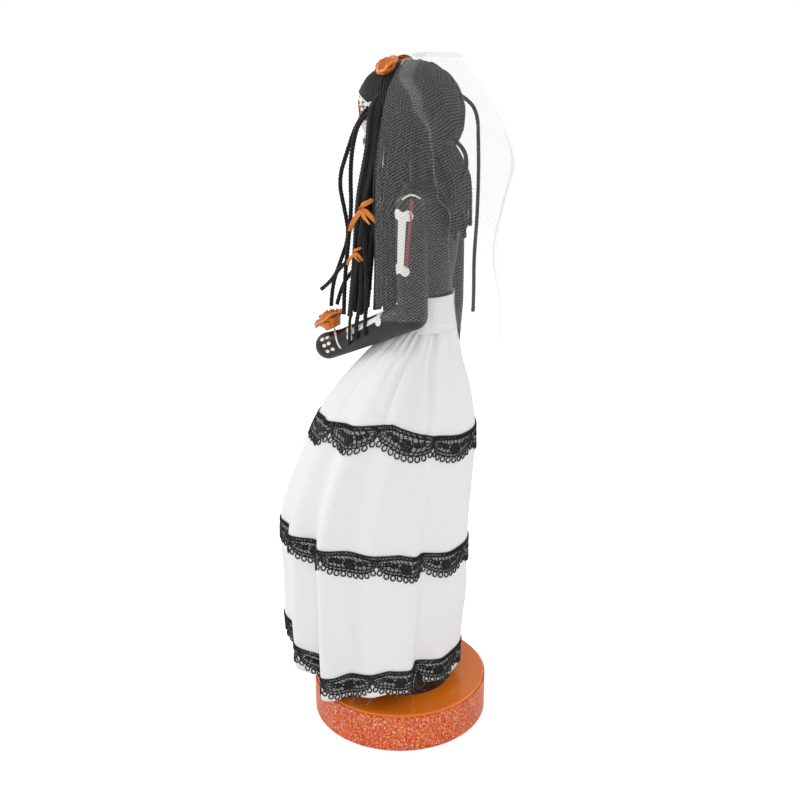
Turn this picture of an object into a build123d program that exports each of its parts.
from build123d import *
import os
from math import cos, pi, radians, sin, tan

# Papier-mache catrina: a skeleton lady in a flounced skirt and a tulle veil, on a round base.
# Millimetres, +Z up. She faces -Y, and her left is +X.
# The origin is on the base's axis, at its underside.

# ---- base and post ----
BASE_RADIUS = 80.8
BASE_HEIGHT = 37.0
BASE_EDGE_ROUND = 1.6
BAND_THICKNESS = 1.2
BAND_MARGIN = 0.6            # bare edge of the disc above and below the band
POST_RADIUS = 6.0
POST_Y = 20.0                # the figure stands behind the base's centre, so that the skirt can reach forward
POST_SEAT = 15.0             # height of the socket's floor
POST_TOP = 545.0
SCREW_RADIUS = 2.0
SCREW_HEAD_RADIUS = 4.2
SCREW_HEAD_HEIGHT = 2.6
SCREW_LENGTH = 45.0
SCREW_RECESS = 1.0           # the head lies this far above the underside
FIT = 0.05                   # clearance all round where one piece is glued or pressed into another
GAP = 0.3                    # clearance where one piece only lies beside another

# ---- body ----
PAPER_WALL = 3.0
HIP_Z = 372.0
WAIST_Z = 405.0
SHOULDER_Z = 493.0
COLLAR_Z = 503.0
BODY_Y = 25.0                # middle of the torso, front to back
FOOT_Y = 8.0                 # middle of the lower body where it stands on the base
FOOT_HALF = (46.0, 42.0)     # half width and half depth of the lower body at the base
HIP_HALF = (26.0, 23.0)
WAIST_HALF = (24.0, 19.5)
CHEST_HALF = (30.0, 25.0)
CHEST_Z = 440.0
BACK_HALF = (33.0, 26.0)
BACK_Z = 475.0
SHOULDER_HALF = (31.0, 22.0)
COLLAR_HALF = (14.0, 13.0)
NECK_RADIUS = 10.5
NECK_TOP = 540.0

# ---- head ----
HEAD_CENTRE = (0.0, -4.0, 560.0)
HEAD_HALF = (26.0, 32.0, 34.0)
JAW_CENTRE = (0.0, -12.0, 535.0)
JAW_HALF = (18.5, 20.0, 16.5)
EYE_SPACING = 23.0
EYE_RADIUS = 7.0
EYE_Z = 558.0
NOSE_RADIUS = 3.2
NOSE_Z = 546.0

# ---- arms ----
UPPER_ARM_RADIUS = 13.5
ELBOW_RADIUS = 12.5
WRIST_RADIUS = 11.2
ELBOW_BEND = 17.0            # the wire's bend inside the left elbow
WIRE_RADIUS = 1.2
WIRE_Y = POST_Y + POST_RADIUS + 2.0    # the wire that crosses the chest passes behind the post
LEFT_SHOULDER = (44.0, WIRE_Y, 488.0)
LEFT_ELBOW = (44.0, 30.0, 400.0)
LEFT_WRIST = (15.0, -46.0, 363.0)
LEFT_HAND_END = (11.0, -64.0, 356.0)
RIGHT_SHOULDER = (-44.0, WIRE_Y, 488.0)
RIGHT_ELBOW = (-53.0, 26.0, 392.0)
RIGHT_WRIST = (-82.0, 12.0, 316.0)
RIGHT_HAND_END = (-88.0, 8.0, 298.0)
HAND_RADIUS = 12.0
LEFT_ARM = (LEFT_SHOULDER, LEFT_ELBOW, LEFT_WRIST, LEFT_HAND_END)
RIGHT_ARM = (RIGHT_SHOULDER, RIGHT_ELBOW, RIGHT_WRIST, RIGHT_HAND_END)

# ---- hair ----
CAP_CENTRE = (0.0, 13.0, 556.0)
CAP_HALF = (32.0, 40.0, 41.0)
FACE_HALF_WIDTH = 23.0
HAIRLINE_Z = 581.0
FACE_BACK_Y = -9.0
LOCK_TOP = 548.0
LOCK_TOP_Y = -11.0
LOCK_END = 391.0
LEFT_LEAN = 17.5             # the left bundle rests forward, on the raised forearm
RIGHT_LEAN = 0.5
SIDE_TOP = 548.0
SIDE_END = 402.0             # just above the raised forearm
NAPE_TOP = 532.0
NAPE_END = 455.0
BRAID = 4.2                  # diameter of a yarn braid
BRAID_ROOT_GAP = 1.1         # so that a braid can swing under the knot that it hangs from

# ---- flowers and ribbons ----
HEAD_ROSE_RADIUS = 10.5
HEAD_ROSE_HEIGHT = 11.5
HEAD_ROSE_REACH = 5.0        # from the cap's surface to the middle of the rose
HAND_ROSE_RADIUS = 15.0
HAND_ROSE_HEIGHT = 16.0
HAND_ROSE_CENTRE = (13.0, -61.5, 380.5)
PIN_RADIUS = 0.8
RIBBON = 0.6                 # thickness of the folded satin

# ---- clothes ----
CLOTH = 1.2                  # skirt cloth with its gathers
LACE = 0.8
LACE_WIDTH = 26.0
HEM_Z = BASE_HEIGHT + 3.0    # the skirt clears the base
SEAM_Z = 376.0               # where the skirt is gathered to the waistband
TULLE = 0.8
VEIL_HEM = 364.0             # lowest at the middle of the back
VEIL_HEM_RISE = 34.0         # the hem lifts towards her left
VEIL_FRONT = 3.0             # the veil's left edge hangs at this Y, over the left arm
VEIL_RIGHT_EDGE = 43.0       # its right edge hangs at this Y, behind the right arm
VEIL_PART_Z = 514.0          # height at which the right edge passes behind the shoulder
VEIL_CROWN_FRONT = 7.0       # behind the roses

# Skirt, from the hem up: height, half width, half depth and where its middle lies along Y.
SKIRT_SECTIONS = [
    (20.0, 86.0, 84.0, -28.0),
    (75.0, 88.0, 85.5, -27.0),
    (130.0, 89.5, 88.0, -25.5),
    (200.0, 89.0, 88.0, -24.5),
    (255.0, 83.0, 80.5, -13.0),
    (291.0, 75.0, 73.0, -4.5),
    (320.0, 64.0, 62.0, 2.5),
    (350.0, 48.5, 45.5, 11.5),
    (SEAM_Z, HIP_HALF[0] + 3.0, HIP_HALF[1] + 3.0, BODY_Y),
]

# Where the hem and the top edges of the two laces run, from front to back: distance along Y and height.
HEM_LINE = [(-114.0, HEM_Z + 34.0), (-44.0, HEM_Z), (-30.0, HEM_Z), (20.0, HEM_Z + 14.0), (60.0, HEM_Z + 7.0)]
LACE_MIDDLE_LINE = [(-114.0, 194.0), (30.0, 194.0), (62.0, 181.0)]
LACE_UPPER_LINE = [(-78.0, 299.0), (20.0, 310.0), (68.0, 292.0)]

# Veil, from its hem up, in the same form.
VEIL_SECTIONS = [
    (VEIL_HEM - 2.0, 66.0, 75.0, 21.0),
    (405.0, 65.0, 73.0, 21.0),
    (447.0, 64.5, 66.0, 21.0),
    (485.0, 64.0, 72.0, 21.0),
    (523.0, 61.5, 80.0, 21.0),
    (561.0, 49.0, 62.0, 22.0),
    (590.0, 33.0, 38.0, 26.0),
    (604.0, 17.0, 22.0, 30.0),
]

# Braids that show one by one. Each route is where the yarn runs, from the hair to its end.
BACK_BRAID_KNOT = (-25.0, 59.0, 548.0)
BACK_BRAID_ROUTE = [
    (*BACK_BRAID_KNOT[:2], BACK_BRAID_KNOT[2] - BRAID_ROOT_GAP),
    (-25.6, 59.8, 527.0),
    (-24.6, 60.6, 500.0),
    (-25.6, 59.6, 468.0),
    (-24.6, 58.0, 436.0),
    (-24.9, 58.6, 409.0),
    (-25.4, 58.0, 391.0),
]
LEFT_BRAID_OUTER_ROUTE = [
    (26.6, -16.0, 562.5),
    (22.6, -28.0, 551.0),
    (21.4, -38.0, 527.0),
    (19.6, -47.5, 503.0),
    (18.8, -42.5, 478.0),
    (18.0, -38.8, 457.0),
    (17.2, -48.0, 434.0),
    (15.4, -57.5, 412.0),
    (14.8, -59.0, 393.5),
]
LEFT_BRAID_INNER_ROUTE = [
    (30.0, -12.5, 558.5),
    (29.6, -22.5, 554.0),
    (27.8, -30.4, 532.0),
    (26.0, -33.4, 508.0),
    (25.0, -33.2, 480.0),
    (24.4, -37.4, 448.0),
    (23.0, -41.8, 417.0),
    (22.0, -43.4, 389.0),
]
LEFT_BRAID_LOW_ROUTE = [
    (31.0, -33.6, 438.0),
    (28.4, -43.6, 431.0),
    (24.8, -54.0, 417.0),
    (21.0, -65.0, 409.0),
]
LEFT_BRAID_ROSE_ROUTE = [
    (17.0, -33.0, 430.0),
    (14.4, -43.0, 421.0),
    (11.4, -51.4, 407.0),
    (9.4, -56.0, 394.0),
]
RIGHT_BRAID_OUTER_KNOT = (-22.0, -27.0, 552.0)
RIGHT_BRAID_OUTER_ROUTE = [
    (*RIGHT_BRAID_OUTER_KNOT[:2], RIGHT_BRAID_OUTER_KNOT[2] - BRAID_ROOT_GAP),
    (-22.8, -27.6, 531.0),
    (-21.4, -26.8, 503.0),
    (-22.6, -26.4, 473.0),
    (-21.6, -27.4, 444.0),
    (-22.2, -27.0, 418.0),
    (-21.8, -26.6, 398.0),
]
RIGHT_BRAID_INNER_KNOT = (-32.6, -24.0, 553.0)
RIGHT_BRAID_INNER_ROUTE = [
    (*RIGHT_BRAID_INNER_KNOT[:2], RIGHT_BRAID_INNER_KNOT[2] - BRAID_ROOT_GAP),
    (-33.4, -24.4, 533.0),
    (-32.2, -23.6, 507.0),
    (-33.0, -24.2, 478.0),
    (-32.0, -23.8, 450.0),
    (-32.6, -24.0, 428.0),
]


# ---- helpers ----
def grown(half, amount):
    """Half sizes, each larger by an amount."""
    return tuple(size + amount for size in half)


def oval(height, half, middle_y, middle_x=0.0):
    """A level ellipse of a body that is lofted from the ground up."""
    return (Pos(middle_x, middle_y, height) * Ellipse(half[0], half[1])).face()


def lofted(sections, grow=0.0):
    """A smooth body through sections of height, half width, half depth and middle along Y."""
    return loft([oval(z, (x + grow, y + grow), middle) for z, x, y, middle in sections])


def egg(centre, half):
    """An ellipsoid."""
    return Pos(*centre) * scale(Sphere(1.0), by=tuple(half))


def slab(low, high):
    """Everything between two heights."""
    return Pos(0, 0, (low + high) / 2) * Box(400, 400, high - low)


def corner_radii(points):
    """The largest gentle arc that the two runs at each corner allow."""
    radii = []
    for before, corner, after in zip(points, points[1:], points[2:]):
        first = Vector(corner) - Vector(before)
        second = Vector(after) - Vector(corner)
        turn = radians(first.get_angle(second))
        radii.append(0.45 * min(first.length, second.length) / tan(turn / 2))
    return radii


def tube(points, radius, radii):
    """A round tube along straight runs joined by arcs."""
    path = FilletPolyline(*points, radius=radii)
    start = Plane(origin=path @ 0, z_dir=path % 0)
    return sweep(start * Circle(radius), path=path)


def braid(name, route):
    """One yarn braid as a plain tube, with its arcs and its volume printed."""
    radii = corner_radii(route)
    made = tube(route, BRAID / 2, radii)
    length = FilletPolyline(*route, radius=radii).length
    print(name, "length", round(length, 1), "radii", [round(r) for r in radii],
          "volume share", round(made.volume / (pi * (BRAID / 2) ** 2 * length), 3))
    return made


def knot(start, end):
    """The bound top of a swinging braid: a short bar of yarn from the hair to where the braid hangs."""
    bar = Vector(end) - Vector(start)
    plane = Plane(origin=start, z_dir=bar)
    body = extrude(plane * Circle(BRAID / 2), amount=bar.length)
    return body + Pos(*end) * Sphere(BRAID / 2)


def save(name, shape):
    """Write one named piece."""
    shape.label = name
    export_step(shape, f"parts/{name}.step")


# ---- base and post ----
def make_screw():
    head = Pos(0, POST_Y, SCREW_RECESS) * Cone(
        SCREW_HEAD_RADIUS, SCREW_RADIUS, SCREW_HEAD_HEIGHT, align=(Align.CENTER, Align.CENTER, Align.MIN))
    shank = Pos(0, POST_Y, SCREW_RECESS) * Cylinder(
        SCREW_RADIUS, SCREW_LENGTH, align=(Align.CENTER, Align.CENTER, Align.MIN))
    return head + shank


def make_screw_space():
    """The screw's countersunk hole in the disc and its pilot in the post."""
    head = Pos(0, POST_Y, 0) * Cylinder(
        SCREW_HEAD_RADIUS + FIT, SCREW_RECESS, align=(Align.CENTER, Align.CENTER, Align.MIN))
    cone = Pos(0, POST_Y, SCREW_RECESS) * Cone(
        SCREW_HEAD_RADIUS + FIT, SCREW_RADIUS + FIT, SCREW_HEAD_HEIGHT,
        align=(Align.CENTER, Align.CENTER, Align.MIN))
    shank = Pos(0, POST_Y, 0) * Cylinder(
        SCREW_RADIUS + FIT, SCREW_RECESS + SCREW_LENGTH + FIT, align=(Align.CENTER, Align.CENTER, Align.MIN))
    return head + cone + shank


def make_base():
    disc = Cylinder(BASE_RADIUS, BASE_HEIGHT, align=(Align.CENTER, Align.CENTER, Align.MIN))
    disc = fillet(disc.edges().group_by(Axis.Z)[-1], BASE_EDGE_ROUND)
    socket = Pos(0, POST_Y, POST_SEAT) * Cylinder(
        POST_RADIUS + FIT, BASE_HEIGHT, align=(Align.CENTER, Align.CENTER, Align.MIN))
    return disc - socket - make_screw_space()


def make_band():
    height = BASE_HEIGHT - BASE_EDGE_ROUND - 2 * BAND_MARGIN
    inner = BASE_RADIUS + FIT
    ring = Cylinder(inner + BAND_THICKNESS, height) - Cylinder(inner, height + 2)
    return Pos(0, 0, BAND_MARGIN + height / 2) * ring


def make_post():
    rod = Pos(0, POST_Y, POST_SEAT) * Cylinder(
        POST_RADIUS, POST_TOP - POST_SEAT, align=(Align.CENTER, Align.CENTER, Align.MIN))
    return rod - make_screw_space()


def post_space():
    return Pos(0, POST_Y, POST_SEAT) * Cylinder(
        POST_RADIUS + FIT, POST_TOP + FIT - POST_SEAT, align=(Align.CENTER, Align.CENTER, Align.MIN))


# ---- papier-mache body ----
def lower_sections():
    return [
        (BASE_HEIGHT + FIT, *FOOT_HALF, FOOT_Y),
        (BASE_HEIGHT + 0.55 * (HIP_Z - BASE_HEIGHT), 36.0, 33.0, 0.5 * (FOOT_Y + BODY_Y)),
        (HIP_Z - FIT, *HIP_HALF, BODY_Y),
    ]


def torso_sections():
    return [
        (HIP_Z, *HIP_HALF, BODY_Y),
        (WAIST_Z, *WAIST_HALF, BODY_Y),
        (CHEST_Z, *CHEST_HALF, BODY_Y - 1.0),
        (BACK_Z, *BACK_HALF, BODY_Y),
        (SHOULDER_Z, *SHOULDER_HALF, BODY_Y),
        (COLLAR_Z, *COLLAR_HALF, BODY_Y - 3.0),
    ]


def make_lower_body():
    return lofted(lower_sections()) - lofted(lower_sections(), -PAPER_WALL)


def make_torso():
    core = lofted(torso_sections(), -PAPER_WALL) & slab(0, SHOULDER_Z - PAPER_WALL)
    shell = lofted(torso_sections()) - core
    return shell - post_space() - wire_space()


def make_neck():
    height = NECK_TOP - COLLAR_Z - FIT
    post_low = COLLAR_Z + FIT
    outer = Pos(0, POST_Y, post_low) * Cylinder(
        NECK_RADIUS, height, align=(Align.CENTER, Align.CENTER, Align.MIN))
    return outer - post_space()


def head_mass():
    return egg(HEAD_CENTRE, HEAD_HALF) + egg(JAW_CENTRE, JAW_HALF)


def neck_space():
    return Pos(0, POST_Y, 0) * Cylinder(
        NECK_RADIUS + FIT, NECK_TOP + FIT, align=(Align.CENTER, Align.CENTER, Align.MIN))


def make_head():
    face_y = HEAD_CENTRE[1] - HEAD_HALF[1]
    skull = head_mass()
    for side in (-1, 1):
        skull -= Pos(side * EYE_SPACING / 2, face_y + 1.5, EYE_Z) * Sphere(EYE_RADIUS)
        skull -= Pos(side * NOSE_RADIUS / 2, face_y, NOSE_Z) * Sphere(NOSE_RADIUS)
    return skull - post_space() - neck_space()


# ---- arms ----
def wire_route():
    return [LEFT_HAND_END, LEFT_WRIST, LEFT_ELBOW, LEFT_SHOULDER,
            RIGHT_SHOULDER, RIGHT_ELBOW, RIGHT_WRIST, RIGHT_HAND_END]


def wire_radii():
    return [30.0, ELBOW_BEND, 12.0, 12.0, 40.0, 30.0]


def make_wire():
    return tube(wire_route(), WIRE_RADIUS, wire_radii())


def wire_space():
    return tube(wire_route(), WIRE_RADIUS + FIT, wire_radii())


def trunk_space():
    """The torso with its waistband, which the arms are shaped to lie against."""
    return lofted(torso_sections(), FIT) + lofted(
        [(HIP_Z, *HIP_HALF, BODY_Y), (WAIST_Z, *WAIST_HALF, BODY_Y)], CLOTH + 2 * GAP)


def limb(start, end, start_radius, end_radius):
    """A tapering round bar between two points."""
    reach = Vector(end) - Vector(start)
    plane = Plane(origin=start, z_dir=reach)
    return plane * Cone(start_radius, end_radius, reach.length, align=(Align.CENTER, Align.CENTER, Align.MIN))


def make_limb(shoulder, elbow, wrist, hand_end, grow=0.0):
    """A whole arm as a solid, larger all round by an amount."""
    upper, joint, thin, hand = grown((UPPER_ARM_RADIUS, ELBOW_RADIUS, WRIST_RADIUS, HAND_RADIUS), grow)
    body = Pos(*shoulder) * Sphere(upper)
    body += limb(shoulder, elbow, upper, joint)
    body += Pos(*elbow) * Sphere(joint)
    body += limb(elbow, wrist, joint, thin)
    body += limb(wrist, hand_end, thin, hand)
    return body + Pos(*hand_end) * Sphere(hand)


def make_arm(arm):
    return make_limb(*arm) - wire_space() - trunk_space()


# ---- hair ----
def cap_mass():
    return egg(CAP_CENTRE, CAP_HALF)


def make_cap():
    face = Pos(0, FACE_BACK_Y - 50, HAIRLINE_Z - 50) * Box(2 * FACE_HALF_WIDTH, 100, 100)
    below = Pos(0, 0, 500) * Box(200, 200, 2 * (NAPE_TOP + GAP - 500))
    return cap_mass() - head_mass() - face - below - post_space() - neck_space()


def bundle(sections, grow=0.0):
    """A hanging mass of yarn through sections of height, half sizes and middle across and front to back."""
    return loft([oval(z, (x + grow, y + grow), middle_y, middle_x)
                 for z, x, y, middle_x, middle_y in sections])


def lock_sections(side, lean):
    drop = LOCK_TOP - LOCK_END
    return [
        (LOCK_END, 10.0, 9.0, side * 23.5, LOCK_TOP_Y - lean),
        (LOCK_END + 0.30 * drop, 10.5, 10.0, side * 25.0, LOCK_TOP_Y - 0.66 * lean),
        (LOCK_END + 0.62 * drop, 11.0, 10.5, side * 27.5, LOCK_TOP_Y - 0.31 * lean),
        (LOCK_TOP, 7.0, 8.0, side * 31.5, LOCK_TOP_Y),
    ]


def hair_space():
    """The wig and the head, with a little room round the wig."""
    return egg(CAP_CENTRE, grown(CAP_HALF, GAP)) + head_mass()


def make_lock(side, lean):
    """The bundle of braids that falls in front of one shoulder, its end further forward by the lean."""
    return bundle(lock_sections(side, lean)) - hair_space()


def make_side_hair(side, lean, arm):
    """The braids between a lock and the nape, which fall past the shoulder and down before the upper arm."""
    drop = SIDE_TOP - SIDE_END
    sections = [
        (SIDE_END, 5.0, 7.0, side * 37.0, 3.0),
        (SIDE_END + 0.53 * drop, 5.5, 7.0, side * 38.5, 8.0),
        (SIDE_END + 0.73 * drop, 6.0, 10.0, side * 37.0, 10.0),
        (SIDE_TOP, 5.5, 15.0, side * 33.0, 10.0),
    ]
    made = bundle(sections) - hair_space() - bundle(lock_sections(side, lean), GAP)
    made = made - make_limb(*arm, grow=GAP) - lofted(torso_sections(), GAP)
    return max(made.solids(), key=lambda piece: piece.volume)


def make_nape():
    """The loose hair that falls from the nape over the upper back."""
    sections = [
        (NAPE_END, 20.0, 4.5, 56.0),
        (NAPE_END + 30.0, 25.0, 7.5, 53.0),
        (NAPE_TOP - 26.0, 27.0, 11.0, 47.0),
        (NAPE_TOP, 26.0, 14.0, 35.0),
    ]
    neck = Pos(0, POST_Y, 0) * Cylinder(
        NECK_RADIUS + GAP, NAPE_TOP + 1, align=(Align.CENTER, Align.CENTER, Align.MIN))
    trunk = lofted(torso_sections(), GAP)
    return lofted(sections) - trunk - neck - head_mass()


def make_braid_roots():
    roots = [
        knot((-22.0, 38.5, 553.0), BACK_BRAID_KNOT),
        knot((-25.5, -10.0, 561.0), RIGHT_BRAID_OUTER_KNOT),
        knot((-27.0, -11.0, 562.0), RIGHT_BRAID_INNER_KNOT),
    ]
    cut = cap_mass() + head_mass()
    floors = [BACK_BRAID_KNOT, RIGHT_BRAID_OUTER_KNOT, RIGHT_BRAID_INNER_KNOT]
    made = []
    for root, end in zip(roots, floors):
        under = Pos(end[0], end[1], end[2] - 5) * Box(12, 12, 10)
        made.append((root - cut - under).solids()[0])
    return Compound(children=made)


# ---- flowers and ribbons ----
def rose(centre, axis, radius, height):
    """The outer shape of a coiled ribbon rose, wider at its lip."""
    plane = Plane(origin=centre, z_dir=axis)
    return plane * Cone(0.62 * radius, radius, height)


def make_head_rose(angle):
    """A rose on the front of the hair, at an angle round it from the middle."""
    turn = radians(angle)
    across, forward = sin(turn), -cos(turn)
    tilt = Vector(across * 0.62, forward * 0.62, 0.80).normalized()
    surface = Vector(
        CAP_HALF[0] ** 2 * tilt.X, CAP_HALF[1] ** 2 * tilt.Y, CAP_HALF[2] ** 2 * tilt.Z)
    size = (surface.X * tilt.X + surface.Y * tilt.Y + surface.Z * tilt.Z) ** 0.5
    centre = Vector(*CAP_CENTRE) + surface / size + tilt * HEAD_ROSE_REACH
    return rose(centre, tilt, HEAD_ROSE_RADIUS, HEAD_ROSE_HEIGHT) - cap_mass() - head_mass()


def make_hand_rose():
    axis = (0.05, -0.45, 0.9)
    return rose(HAND_ROSE_CENTRE, axis, HAND_ROSE_RADIUS, HAND_ROSE_HEIGHT)


def pin_space(radius):
    plane = Plane(origin=HAND_ROSE_CENTRE, z_dir=(0.05, -0.45, 0.9))
    low = plane * Pos(0, 0, -HAND_ROSE_HEIGHT / 2 - 9.0)
    return low * Cylinder(radius, 9.0 - FIT, align=(Align.CENTER, Align.CENTER, Align.MIN))


def make_bow(centre, side, size):
    """A knot with two loops and two tails of satin ribbon, lying against the hair."""
    made = Box(3.6, 5.0 * size, 4.6 * size)
    for turn, length in ((35, 17.0), (-40, 13.0), (118, 22.0), (62, 15.0)):
        tail = Pos(0, length * size / 2 + 1.6, 0) * Box(RIBBON * 2, length * size, 4.2 * size)
        made += Rot(-turn, 0, 0) * tail
    return Pos(centre[0] + side * 1.9, centre[1], centre[2]) * made


# ---- clothes ----
def under(line, lift=0.0):
    """Everything under a line from front to back, moved up by an amount."""
    raised = [(y, z + lift) for y, z in line]
    ends = [(raised[-1][0] + 60, raised[-1][1]), (raised[-1][0] + 60, -60), (raised[0][0] - 60, -60),
            (raised[0][0] - 60, raised[0][1])]
    return extrude(Plane.YZ * make_face(Polyline(*raised, *ends, close=True)), amount=200, both=True)


def make_skirt():
    return lofted(SKIRT_SECTIONS) - lofted(SKIRT_SECTIONS, -CLOTH) - under(HEM_LINE)


def lace_ring():
    return lofted(SKIRT_SECTIONS, GAP + LACE) - lofted(SKIRT_SECTIONS, GAP)


def make_lace(line, lift=0.0):
    """A band of lace with its top edge along a line."""
    return (lace_ring() & under(line, lift)) - under(line, lift - LACE_WIDTH)


def make_waistband():
    sections = [(SEAM_Z + GAP, *HIP_HALF, BODY_Y), (WAIST_Z - 1.0, *WAIST_HALF, BODY_Y)]
    return lofted(sections, CLOTH + GAP) - lofted(
        [(HIP_Z, *HIP_HALF, BODY_Y), (WAIST_Z + 1.0, *grown(WAIST_HALF, -0.06), BODY_Y)], GAP)


def make_veil():
    outer = lofted(VEIL_SECTIONS)
    inner = lofted(VEIL_SECTIONS, -TULLE) & slab(0, VEIL_SECTIONS[-1][0] - TULLE)
    front = Pos(0, VEIL_FRONT - 100, 480) * Box(300, 200, 400)
    crown = Pos(0, VEIL_CROWN_FRONT - 100, HAIRLINE_Z + 50) * Box(60, 200, 100)
    right = Pos(-100, VEIL_RIGHT_EDGE - 100, VEIL_PART_Z - 200) * Box(200, 200, 400)
    side = VEIL_SECTIONS[0][1]
    edge = Polyline(
        (-2 * side, VEIL_HEM), (0, VEIL_HEM), (2 * side, VEIL_HEM + 2 * VEIL_HEM_RISE),
        (2 * side, VEIL_HEM - 50), (-2 * side, VEIL_HEM - 50), close=True)
    below = extrude(Plane.XZ * make_face(edge), amount=200, both=True)
    return outer - inner - front - crown - right - below


def make_veil_stitch():
    """The running thread that gathers the tulle and holds it to the hair behind the roses."""
    points = [(14.0, 7.0, 595.0), (5.0, 5.5, 598.6), (-5.0, 5.5, 598.6), (-14.0, 7.0, 595.0)]
    return tube(points, 0.8, [12.0, 12.0])


PIECES = {
    "base_disc": make_base,
    "glitter_band": make_band,
    "post": make_post,
    "post_screw": make_screw,
    "lower_body": make_lower_body,
    "torso": make_torso,
    "neck": make_neck,
    "head": make_head,
    "arm_wire": make_wire,
    "left_arm": lambda: make_arm(LEFT_ARM) - pin_space(PIN_RADIUS + FIT),
    "right_arm": lambda: make_arm(RIGHT_ARM),
    "hair_cap": make_cap,
    "left_lock": lambda: make_lock(1, LEFT_LEAN),
    "right_lock": lambda: make_lock(-1, RIGHT_LEAN),
    "left_side_hair": lambda: make_side_hair(1, LEFT_LEAN, LEFT_ARM),
    "right_side_hair": lambda: make_side_hair(-1, RIGHT_LEAN, RIGHT_ARM),
    "nape_hair": make_nape,
    "braid_roots": make_braid_roots,
    "back_braid": lambda: braid("back_braid", BACK_BRAID_ROUTE),
    "left_braid_outer": lambda: braid("left_braid_outer", LEFT_BRAID_OUTER_ROUTE),
    "left_braid_inner": lambda: braid("left_braid_inner", LEFT_BRAID_INNER_ROUTE),
    "left_braid_low": lambda: braid("left_braid_low", LEFT_BRAID_LOW_ROUTE),
    "left_braid_rose": lambda: braid("left_braid_rose", LEFT_BRAID_ROSE_ROUTE),
    "right_braid_outer": lambda: braid("right_braid_outer", RIGHT_BRAID_OUTER_ROUTE),
    "right_braid_inner": lambda: braid("right_braid_inner", RIGHT_BRAID_INNER_ROUTE),
    "head_rose_left": lambda: make_head_rose(52),
    "head_rose_middle": lambda: make_head_rose(0),
    "head_rose_right": lambda: make_head_rose(-52),
    "hand_rose": make_hand_rose,
    "hand_rose_pin": lambda: pin_space(PIN_RADIUS),
    "left_bow": lambda: make_bow((38.6, -17.0, 484.0), 1, 1.0),
    "left_bow_low": lambda: make_bow((36.0, -25.0, 447.0), 1, 0.6),
    "right_bow": lambda: make_bow((-38.6, -17.0, 484.0), -1, 1.0),
    "waistband": make_waistband,
    "skirt": make_skirt,
    "lace_upper": lambda: make_lace(LACE_UPPER_LINE),
    "lace_middle": lambda: make_lace(LACE_MIDDLE_LINE),
    "lace_hem": lambda: make_lace(HEM_LINE, LACE_WIDTH - 1.5),
    "veil": make_veil,
    "veil_stitch": make_veil_stitch,
}

os.makedirs("parts", exist_ok=True)
for piece_name, make in PIECES.items():
    save(piece_name, make())
